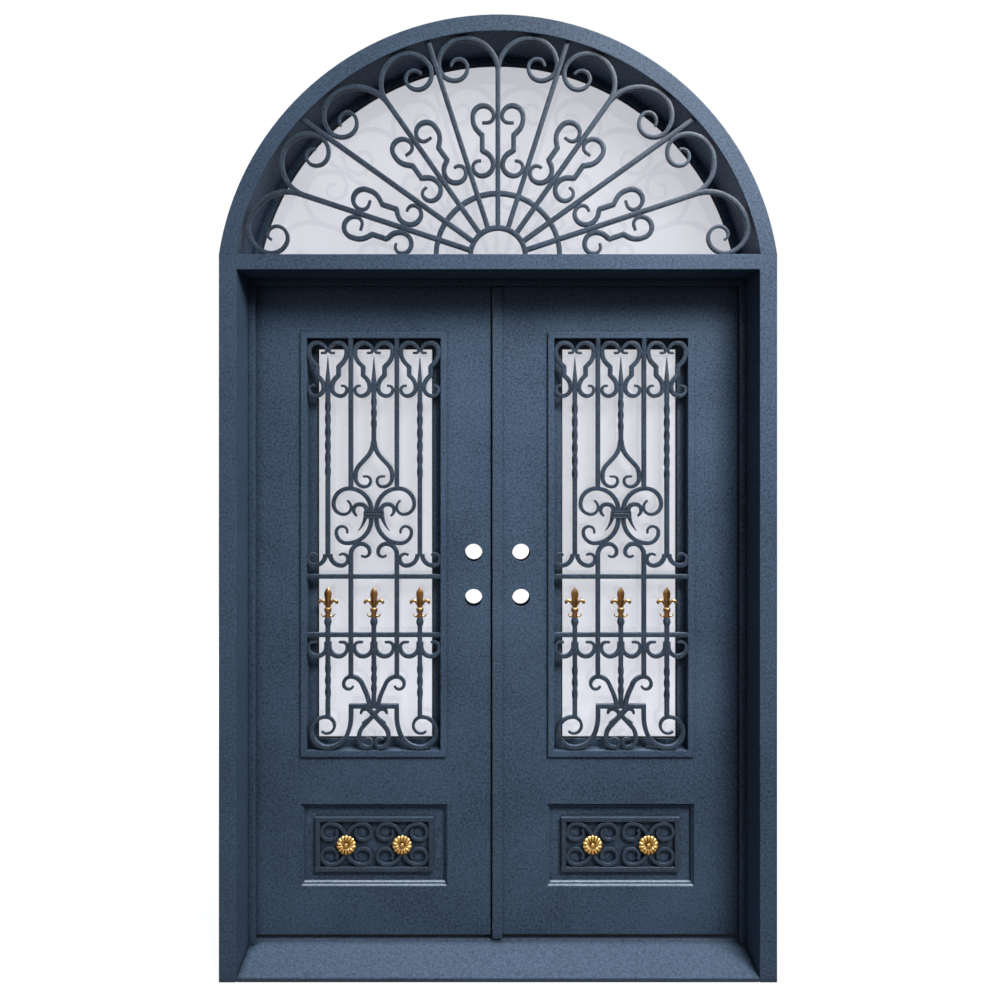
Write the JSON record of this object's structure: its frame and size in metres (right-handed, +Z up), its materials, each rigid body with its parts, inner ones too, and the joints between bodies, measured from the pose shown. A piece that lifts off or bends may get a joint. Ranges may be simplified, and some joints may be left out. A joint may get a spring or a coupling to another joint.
{
  "type": "wrought iron entry door",
  "caption": "Arched double entry door of painted wrought iron: scrolled fanlight over glazed leaves with forged grilles, gilt finials and rosettes, in a deep steel frame.",
  "frame": {"origin": "middle of the sill's underside, on the floor, halfway through the frame's depth", "axes": "+Z up, +X to the right seen from outside, -Y towards the outside (the side in the picture)"},
  "size_m": [1.626, 0.205, 2.8188],
  "materials": {
    "frame_paint": "satin textured powder coat",
    "leaf_paint": "satin textured powder coat",
    "iron_paint": "satin powder coat on forged bar",
    "antique_gold": "antique gold paint",
    "clear_glass": "polished",
    "seal_rubber": "matt"
  },
  "bodies": {
    "frame": {"left_jamb": "frame_paint", "right_jamb": "frame_paint", "left_stop": "frame_paint", "right_stop": "frame_paint", "head_stop": "frame_paint", "transom_bar": "frame_paint", "arch_frame": "frame_paint", "sill": "frame_paint", "fan_rays": "iron_paint", "fan_ring": "iron_paint", "fan_rim_scrolls": "iron_paint", "fan_lyres": "iron_paint", "fanlight_bead": "frame_paint", "fanlight_glass": "clear_glass", "left_hinge_pins": "frame_paint", "right_hinge_pins": "frame_paint"},
    "left_leaf": {"left_leaf_slab": "leaf_paint", "left_window_trim": "leaf_paint", "left_window_glass": "clear_glass", "left_glazing_bead": "leaf_paint", "left_grille_bars": "iron_paint", "left_grille_scrolls": "iron_paint", "left_grille_collar": "iron_paint", "left_fleur_de_lis": "antique_gold", "left_panel_grille": "iron_paint", "left_rosettes": "antique_gold", "left_bottom_sweep": "seal_rubber", "left_hinge_knuckles": "leaf_paint"},
    "right_leaf": {"right_leaf_slab": "leaf_paint", "right_window_trim": "leaf_paint", "right_window_glass": "clear_glass", "right_glazing_bead": "leaf_paint", "right_grille_bars": "iron_paint", "right_grille_scrolls": "iron_paint", "right_grille_collar": "iron_paint", "right_fleur_de_lis": "antique_gold", "right_panel_grille": "iron_paint", "right_rosettes": "antique_gold", "right_bottom_sweep": "seal_rubber", "right_hinge_knuckles": "leaf_paint", "astragal": "leaf_paint"}
  },
  "joints": [
    {"name": "left_leaf_hinge", "type": "hinge", "parent": "frame", "child": "left_leaf", "pos_m": [-0.758, 0.104, 1.06], "axis": [0, 0, 1], "range_deg": [0, 110]},
    {"name": "right_leaf_hinge", "type": "hinge", "parent": "frame", "child": "right_leaf", "pos_m": [0.758, 0.104, 1.06], "axis": [0, 0, -1], "range_deg": [0, 110]}
  ]
}
